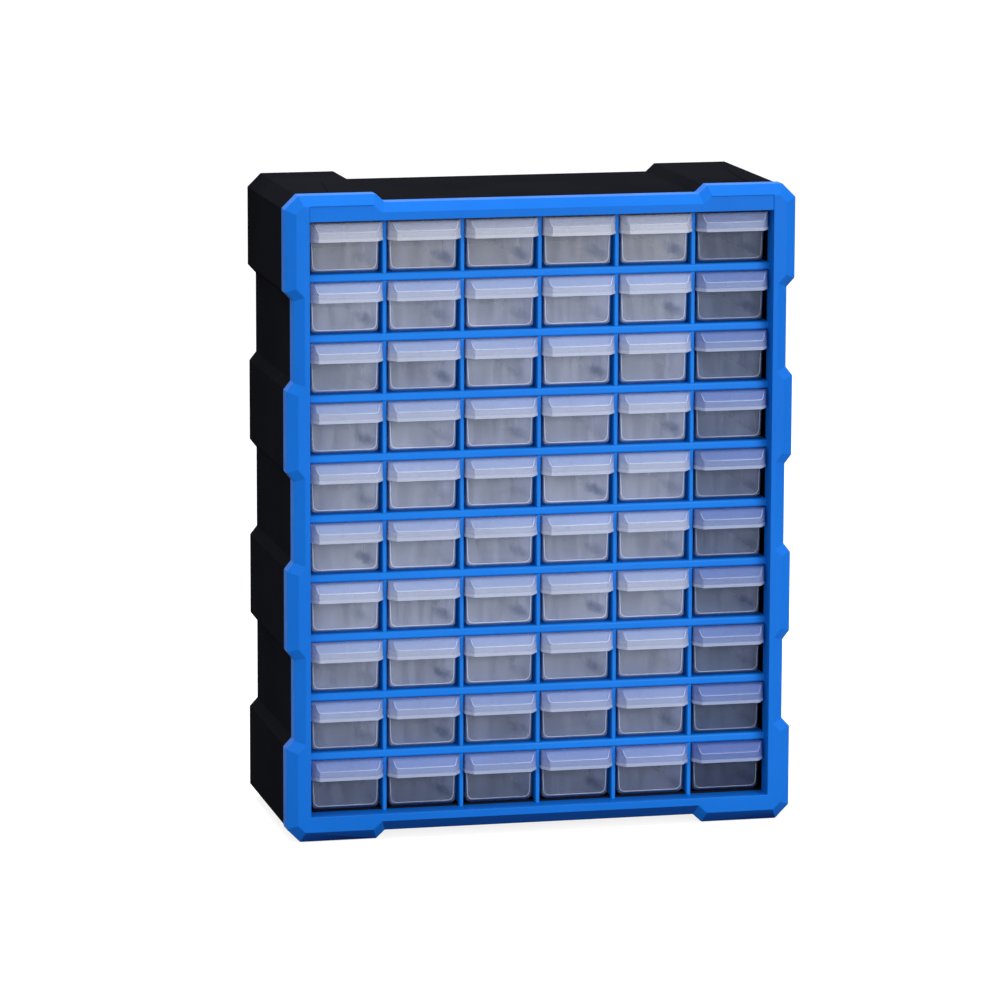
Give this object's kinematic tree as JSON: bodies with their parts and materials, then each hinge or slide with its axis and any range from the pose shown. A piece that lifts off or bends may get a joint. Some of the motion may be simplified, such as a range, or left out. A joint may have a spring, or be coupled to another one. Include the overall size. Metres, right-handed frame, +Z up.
{
  "type": "parts bin cabinet",
  "caption": "Upright small-parts cabinet: dark moulded casing, blue stepped front frame with a shelf grid, and rows of clear pull-out drawers with hooded finger pulls.",
  "frame": {"origin": "centre of the footprint on the surface the cabinet stands on", "axes": "+Z up along the height, -Y towards the drawer side, +X to the right of someone facing the drawers; the drawers slide out along -Y"},
  "size_m": [0.38, 0.16, 0.475],
  "materials": {
    "blue_plastic": "satin moulded plastic",
    "black_plastic": "fine grained moulded plastic",
    "clear_plastic": "clear moulded plastic, slightly cloudy"
  },
  "bodies": {
    "cabinet": {"outer_shell": "black_plastic", "front_frame": "blue_plastic", "divider_rack": "blue_plastic"},
    "tray_r01_c1": {"drawer_r01_c1": "clear_plastic"},
    "tray_r01_c2": {"drawer_r01_c2": "clear_plastic"},
    "tray_r01_c3": {"drawer_r01_c3": "clear_plastic"},
    "tray_r01_c4": {"drawer_r01_c4": "clear_plastic"},
    "tray_r01_c5": {"drawer_r01_c5": "clear_plastic"},
    "tray_r01_c6": {"drawer_r01_c6": "clear_plastic"},
    "tray_r02_c1": {"drawer_r02_c1": "clear_plastic"},
    "tray_r02_c2": {"drawer_r02_c2": "clear_plastic"},
    "tray_r02_c3": {"drawer_r02_c3": "clear_plastic"},
    "tray_r02_c4": {"drawer_r02_c4": "clear_plastic"},
    "tray_r02_c5": {"drawer_r02_c5": "clear_plastic"},
    "tray_r02_c6": {"drawer_r02_c6": "clear_plastic"},
    "tray_r03_c1": {"drawer_r03_c1": "clear_plastic"},
    "tray_r03_c2": {"drawer_r03_c2": "clear_plastic"},
    "tray_r03_c3": {"drawer_r03_c3": "clear_plastic"},
    "tray_r03_c4": {"drawer_r03_c4": "clear_plastic"},
    "tray_r03_c5": {"drawer_r03_c5": "clear_plastic"},
    "tray_r03_c6": {"drawer_r03_c6": "clear_plastic"},
    "tray_r04_c1": {"drawer_r04_c1": "clear_plastic"},
    "tray_r04_c2": {"drawer_r04_c2": "clear_plastic"},
    "tray_r04_c3": {"drawer_r04_c3": "clear_plastic"},
    "tray_r04_c4": {"drawer_r04_c4": "clear_plastic"},
    "tray_r04_c5": {"drawer_r04_c5": "clear_plastic"},
    "tray_r04_c6": {"drawer_r04_c6": "clear_plastic"},
    "tray_r05_c1": {"drawer_r05_c1": "clear_plastic"},
    "tray_r05_c2": {"drawer_r05_c2": "clear_plastic"},
    "tray_r05_c3": {"drawer_r05_c3": "clear_plastic"},
    "tray_r05_c4": {"drawer_r05_c4": "clear_plastic"},
    "tray_r05_c5": {"drawer_r05_c5": "clear_plastic"},
    "tray_r05_c6": {"drawer_r05_c6": "clear_plastic"},
    "tray_r06_c1": {"drawer_r06_c1": "clear_plastic"},
    "tray_r06_c2": {"drawer_r06_c2": "clear_plastic"},
    "tray_r06_c3": {"drawer_r06_c3": "clear_plastic"},
    "tray_r06_c4": {"drawer_r06_c4": "clear_plastic"},
    "tray_r06_c5": {"drawer_r06_c5": "clear_plastic"},
    "tray_r06_c6": {"drawer_r06_c6": "clear_plastic"},
    "tray_r07_c1": {"drawer_r07_c1": "clear_plastic"},
    "tray_r07_c2": {"drawer_r07_c2": "clear_plastic"},
    "tray_r07_c3": {"drawer_r07_c3": "clear_plastic"},
    "tray_r07_c4": {"drawer_r07_c4": "clear_plastic"},
    "tray_r07_c5": {"drawer_r07_c5": "clear_plastic"},
    "tray_r07_c6": {"drawer_r07_c6": "clear_plastic"},
    "tray_r08_c1": {"drawer_r08_c1": "clear_plastic"},
    "tray_r08_c2": {"drawer_r08_c2": "clear_plastic"},
    "tray_r08_c3": {"drawer_r08_c3": "clear_plastic"},
    "tray_r08_c4": {"drawer_r08_c4": "clear_plastic"},
    "tray_r08_c5": {"drawer_r08_c5": "clear_plastic"},
    "tray_r08_c6": {"drawer_r08_c6": "clear_plastic"},
    "tray_r09_c1": {"drawer_r09_c1": "clear_plastic"},
    "tray_r09_c2": {"drawer_r09_c2": "clear_plastic"},
    "tray_r09_c3": {"drawer_r09_c3": "clear_plastic"},
    "tray_r09_c4": {"drawer_r09_c4": "clear_plastic"},
    "tray_r09_c5": {"drawer_r09_c5": "clear_plastic"},
    "tray_r09_c6": {"drawer_r09_c6": "clear_plastic"},
    "tray_r10_c1_c2": {"drawer_r10_c1_c2": "clear_plastic"},
    "tray_r10_c3_c4": {"drawer_r10_c3_c4": "clear_plastic"},
    "tray_r10_c5_c6": {"drawer_r10_c5_c6": "clear_plastic"}
  },
  "joints": [
    {"name": "slide_r01_c1", "type": "slide", "parent": "cabinet", "child": "tray_r01_c1", "axis": [0, -1, 0], "range_m": [0, 0.11]},
    {"name": "slide_r01_c2", "type": "slide", "parent": "cabinet", "child": "tray_r01_c2", "axis": [0, -1, 0], "range_m": [0, 0.11]},
    {"name": "slide_r01_c3", "type": "slide", "parent": "cabinet", "child": "tray_r01_c3", "axis": [0, -1, 0], "range_m": [0, 0.11]},
    {"name": "slide_r01_c4", "type": "slide", "parent": "cabinet", "child": "tray_r01_c4", "axis": [0, -1, 0], "range_m": [0, 0.11]},
    {"name": "slide_r01_c5", "type": "slide", "parent": "cabinet", "child": "tray_r01_c5", "axis": [0, -1, 0], "range_m": [0, 0.11]},
    {"name": "slide_r01_c6", "type": "slide", "parent": "cabinet", "child": "tray_r01_c6", "axis": [0, -1, 0], "range_m": [0, 0.11]},
    {"name": "slide_r02_c1", "type": "slide", "parent": "cabinet", "child": "tray_r02_c1", "axis": [0, -1, 0], "range_m": [0, 0.11]},
    {"name": "slide_r02_c2", "type": "slide", "parent": "cabinet", "child": "tray_r02_c2", "axis": [0, -1, 0], "range_m": [0, 0.11]},
    {"name": "slide_r02_c3", "type": "slide", "parent": "cabinet", "child": "tray_r02_c3", "axis": [0, -1, 0], "range_m": [0, 0.11]},
    {"name": "slide_r02_c4", "type": "slide", "parent": "cabinet", "child": "tray_r02_c4", "axis": [0, -1, 0], "range_m": [0, 0.11]},
    {"name": "slide_r02_c5", "type": "slide", "parent": "cabinet", "child": "tray_r02_c5", "axis": [0, -1, 0], "range_m": [0, 0.11]},
    {"name": "slide_r02_c6", "type": "slide", "parent": "cabinet", "child": "tray_r02_c6", "axis": [0, -1, 0], "range_m": [0, 0.11]},
    {"name": "slide_r03_c1", "type": "slide", "parent": "cabinet", "child": "tray_r03_c1", "axis": [0, -1, 0], "range_m": [0, 0.11]},
    {"name": "slide_r03_c2", "type": "slide", "parent": "cabinet", "child": "tray_r03_c2", "axis": [0, -1, 0], "range_m": [0, 0.11]},
    {"name": "slide_r03_c3", "type": "slide", "parent": "cabinet", "child": "tray_r03_c3", "axis": [0, -1, 0], "range_m": [0, 0.11]},
    {"name": "slide_r03_c4", "type": "slide", "parent": "cabinet", "child": "tray_r03_c4", "axis": [0, -1, 0], "range_m": [0, 0.11]},
    {"name": "slide_r03_c5", "type": "slide", "parent": "cabinet", "child": "tray_r03_c5", "axis": [0, -1, 0], "range_m": [0, 0.11]},
    {"name": "slide_r03_c6", "type": "slide", "parent": "cabinet", "child": "tray_r03_c6", "axis": [0, -1, 0], "range_m": [0, 0.11]},
    {"name": "slide_r04_c1", "type": "slide", "parent": "cabinet", "child": "tray_r04_c1", "axis": [0, -1, 0], "range_m": [0, 0.11]},
    {"name": "slide_r04_c2", "type": "slide", "parent": "cabinet", "child": "tray_r04_c2", "axis": [0, -1, 0], "range_m": [0, 0.11]},
    {"name": "slide_r04_c3", "type": "slide", "parent": "cabinet", "child": "tray_r04_c3", "axis": [0, -1, 0], "range_m": [0, 0.11]},
    {"name": "slide_r04_c4", "type": "slide", "parent": "cabinet", "child": "tray_r04_c4", "axis": [0, -1, 0], "range_m": [0, 0.11]},
    {"name": "slide_r04_c5", "type": "slide", "parent": "cabinet", "child": "tray_r04_c5", "axis": [0, -1, 0], "range_m": [0, 0.11]},
    {"name": "slide_r04_c6", "type": "slide", "parent": "cabinet", "child": "tray_r04_c6", "axis": [0, -1, 0], "range_m": [0, 0.11]},
    {"name": "slide_r05_c1", "type": "slide", "parent": "cabinet", "child": "tray_r05_c1", "axis": [0, -1, 0], "range_m": [0, 0.11]},
    {"name": "slide_r05_c2", "type": "slide", "parent": "cabinet", "child": "tray_r05_c2", "axis": [0, -1, 0], "range_m": [0, 0.11]},
    {"name": "slide_r05_c3", "type": "slide", "parent": "cabinet", "child": "tray_r05_c3", "axis": [0, -1, 0], "range_m": [0, 0.11]},
    {"name": "slide_r05_c4", "type": "slide", "parent": "cabinet", "child": "tray_r05_c4", "axis": [0, -1, 0], "range_m": [0, 0.11]},
    {"name": "slide_r05_c5", "type": "slide", "parent": "cabinet", "child": "tray_r05_c5", "axis": [0, -1, 0], "range_m": [0, 0.11]},
    {"name": "slide_r05_c6", "type": "slide", "parent": "cabinet", "child": "tray_r05_c6", "axis": [0, -1, 0], "range_m": [0, 0.11]},
    {"name": "slide_r06_c1", "type": "slide", "parent": "cabinet", "child": "tray_r06_c1", "axis": [0, -1, 0], "range_m": [0, 0.11]},
    {"name": "slide_r06_c2", "type": "slide", "parent": "cabinet", "child": "tray_r06_c2", "axis": [0, -1, 0], "range_m": [0, 0.11]},
    {"name": "slide_r06_c3", "type": "slide", "parent": "cabinet", "child": "tray_r06_c3", "axis": [0, -1, 0], "range_m": [0, 0.11]},
    {"name": "slide_r06_c4", "type": "slide", "parent": "cabinet", "child": "tray_r06_c4", "axis": [0, -1, 0], "range_m": [0, 0.11]},
    {"name": "slide_r06_c5", "type": "slide", "parent": "cabinet", "child": "tray_r06_c5", "axis": [0, -1, 0], "range_m": [0, 0.11]},
    {"name": "slide_r06_c6", "type": "slide", "parent": "cabinet", "child": "tray_r06_c6", "axis": [0, -1, 0], "range_m": [0, 0.11]},
    {"name": "slide_r07_c1", "type": "slide", "parent": "cabinet", "child": "tray_r07_c1", "axis": [0, -1, 0], "range_m": [0, 0.11]},
    {"name": "slide_r07_c2", "type": "slide", "parent": "cabinet", "child": "tray_r07_c2", "axis": [0, -1, 0], "range_m": [0, 0.11]},
    {"name": "slide_r07_c3", "type": "slide", "parent": "cabinet", "child": "tray_r07_c3", "axis": [0, -1, 0], "range_m": [0, 0.11]},
    {"name": "slide_r07_c4", "type": "slide", "parent": "cabinet", "child": "tray_r07_c4", "axis": [0, -1, 0], "range_m": [0, 0.11]},
    {"name": "slide_r07_c5", "type": "slide", "parent": "cabinet", "child": "tray_r07_c5", "axis": [0, -1, 0], "range_m": [0, 0.11]},
    {"name": "slide_r07_c6", "type": "slide", "parent": "cabinet", "child": "tray_r07_c6", "axis": [0, -1, 0], "range_m": [0, 0.11]},
    {"name": "slide_r08_c1", "type": "slide", "parent": "cabinet", "child": "tray_r08_c1", "axis": [0, -1, 0], "range_m": [0, 0.11]},
    {"name": "slide_r08_c2", "type": "slide", "parent": "cabinet", "child": "tray_r08_c2", "axis": [0, -1, 0], "range_m": [0, 0.11]},
    {"name": "slide_r08_c3", "type": "slide", "parent": "cabinet", "child": "tray_r08_c3", "axis": [0, -1, 0], "range_m": [0, 0.11]},
    {"name": "slide_r08_c4", "type": "slide", "parent": "cabinet", "child": "tray_r08_c4", "axis": [0, -1, 0], "range_m": [0, 0.11]},
    {"name": "slide_r08_c5", "type": "slide", "parent": "cabinet", "child": "tray_r08_c5", "axis": [0, -1, 0], "range_m": [0, 0.11]},
    {"name": "slide_r08_c6", "type": "slide", "parent": "cabinet", "child": "tray_r08_c6", "axis": [0, -1, 0], "range_m": [0, 0.11]},
    {"name": "slide_r09_c1", "type": "slide", "parent": "cabinet", "child": "tray_r09_c1", "axis": [0, -1, 0], "range_m": [0, 0.11]},
    {"name": "slide_r09_c2", "type": "slide", "parent": "cabinet", "child": "tray_r09_c2", "axis": [0, -1, 0], "range_m": [0, 0.11]},
    {"name": "slide_r09_c3", "type": "slide", "parent": "cabinet", "child": "tray_r09_c3", "axis": [0, -1, 0], "range_m": [0, 0.11]},
    {"name": "slide_r09_c4", "type": "slide", "parent": "cabinet", "child": "tray_r09_c4", "axis": [0, -1, 0], "range_m": [0, 0.11]},
    {"name": "slide_r09_c5", "type": "slide", "parent": "cabinet", "child": "tray_r09_c5", "axis": [0, -1, 0], "range_m": [0, 0.11]},
    {"name": "slide_r09_c6", "type": "slide", "parent": "cabinet", "child": "tray_r09_c6", "axis": [0, -1, 0], "range_m": [0, 0.11]},
    {"name": "slide_r10_c1_c2", "type": "slide", "parent": "cabinet", "child": "tray_r10_c1_c2", "axis": [0, -1, 0], "range_m": [0, 0.11]},
    {"name": "slide_r10_c3_c4", "type": "slide", "parent": "cabinet", "child": "tray_r10_c3_c4", "axis": [0, -1, 0], "range_m": [0, 0.11]},
    {"name": "slide_r10_c5_c6", "type": "slide", "parent": "cabinet", "child": "tray_r10_c5_c6", "axis": [0, -1, 0], "range_m": [0, 0.11]}
  ]
}
